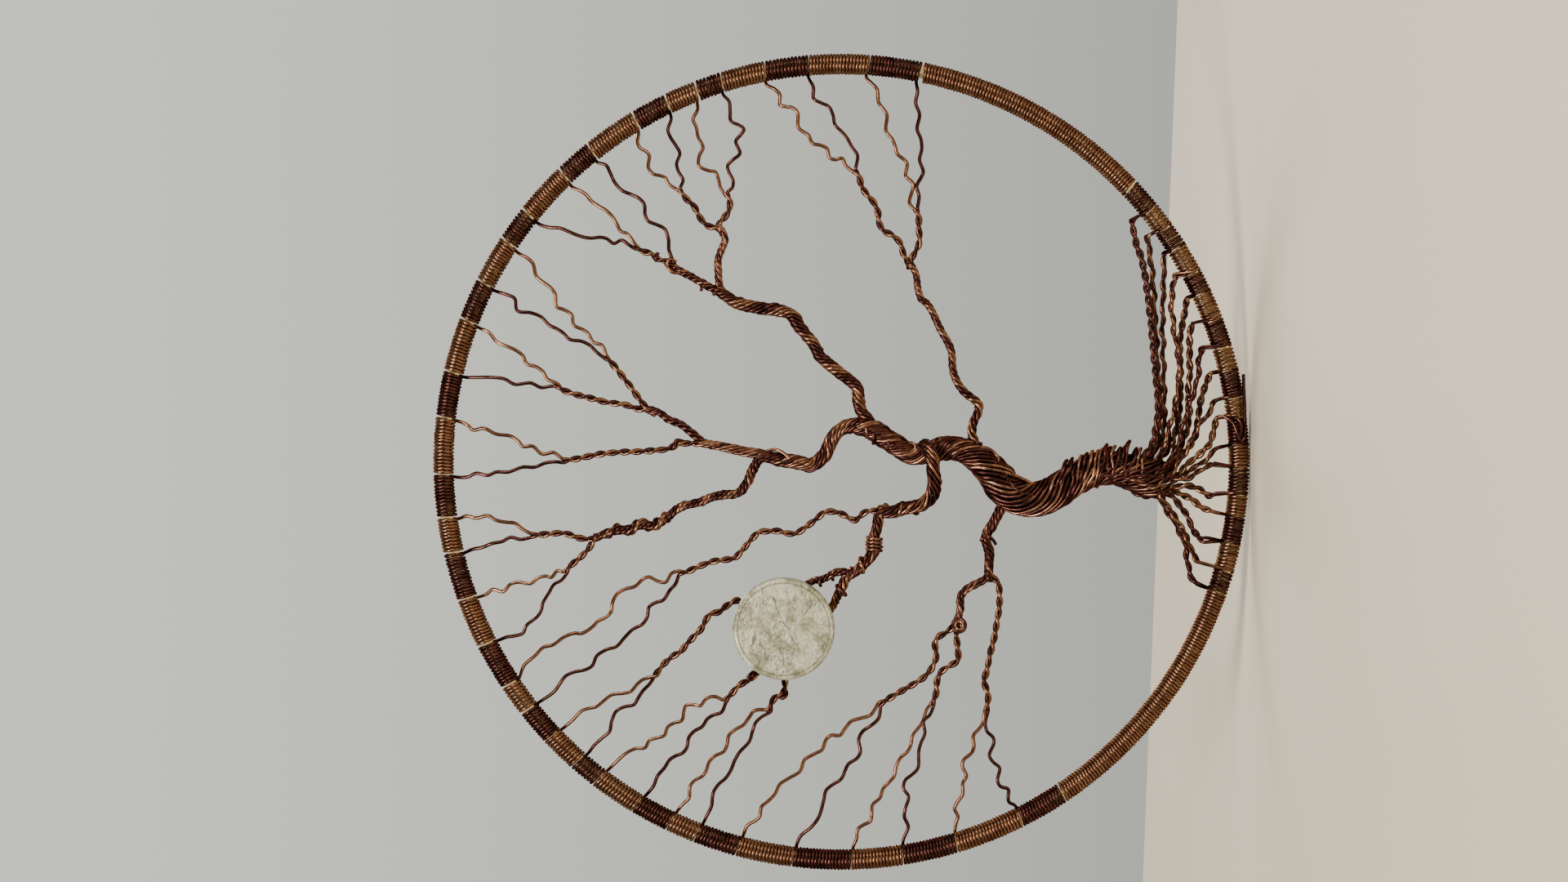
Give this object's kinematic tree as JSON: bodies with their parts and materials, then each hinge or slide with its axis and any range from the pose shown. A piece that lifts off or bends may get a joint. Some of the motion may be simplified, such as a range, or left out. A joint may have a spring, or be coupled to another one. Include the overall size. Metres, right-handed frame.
{
  "type": "wire tree of life",
  "caption": "Round wall or shelf ornament: a tree of twisted copper wires in a wire-wrapped hoop, with a pale round stone as its moon.",
  "frame": {"origin": "the foot of the hoop, at the middle of its lowest flat, where it stands on a shelf", "axes": "+Z from the foot up to the crown of the hoop, +X to the right as seen from the front, -Y towards the viewer"},
  "size_m": [0.2, 0.0123, 0.2],
  "materials": {
    "bright_copper": "bright drawn copper wire, lightly tarnished",
    "dark_copper": "dark antiqued copper wire",
    "mixed_copper": "bright and dark copper wires twisted together",
    "brass_rod": "plain brass rod",
    "moon_stone": "polished pale crackled stone",
    "clear_glue": "clear set glue"
  },
  "bodies": {
    "root": {"bough_crossing": "mixed_copper", "bough_low_left": "mixed_copper", "bough_low_left_fork": "mixed_copper", "bough_low_right": "mixed_copper", "bough_middle": "mixed_copper", "bough_middle_left": "mixed_copper", "bough_middle_right": "mixed_copper", "bough_middle_top": "mixed_copper", "bough_right": "mixed_copper", "bough_right_out": "mixed_copper", "bough_right_up": "mixed_copper", "bough_tie": "bright_copper", "bough_to_stone": "mixed_copper", "coil_left": "bright_copper", "coil_right": "bright_copper", "hoop_rod": "brass_rod", "moon_stone": "moon_stone", "prong_left": "dark_copper", "prong_right": "dark_copper", "root_01": "dark_copper", "root_02": "bright_copper", "root_03": "dark_copper", "root_04": "bright_copper", "root_05": "dark_copper", "root_06": "bright_copper", "root_07": "dark_copper", "root_08": "bright_copper", "root_09": "dark_copper", "root_10": "bright_copper", "root_11": "dark_copper", "root_12": "bright_copper", "root_13": "dark_copper", "root_14": "bright_copper", "root_15": "dark_copper", "root_16": "bright_copper", "root_17": "dark_copper", "stone_cradle": "dark_copper", "stone_glue": "clear_glue", "trunk": "mixed_copper", "twig_27": "dark_copper", "twigs_01_02": "mixed_copper", "twigs_03_04": "mixed_copper", "twigs_05_06": "mixed_copper", "twigs_07_08": "mixed_copper", "twigs_09_10": "mixed_copper", "twigs_11_12": "mixed_copper", "twigs_13_14": "mixed_copper", "twigs_15_16": "mixed_copper", "twigs_17_18": "mixed_copper", "twigs_19_20": "mixed_copper", "twigs_21_22": "mixed_copper", "twigs_23_24": "mixed_copper", "twigs_25_26": "mixed_copper", "twigs_28_29": "mixed_copper", "twigs_30_31": "mixed_copper", "twigs_32_33": "mixed_copper", "twigs_34_35": "mixed_copper"}
  },
  "joints": []
}
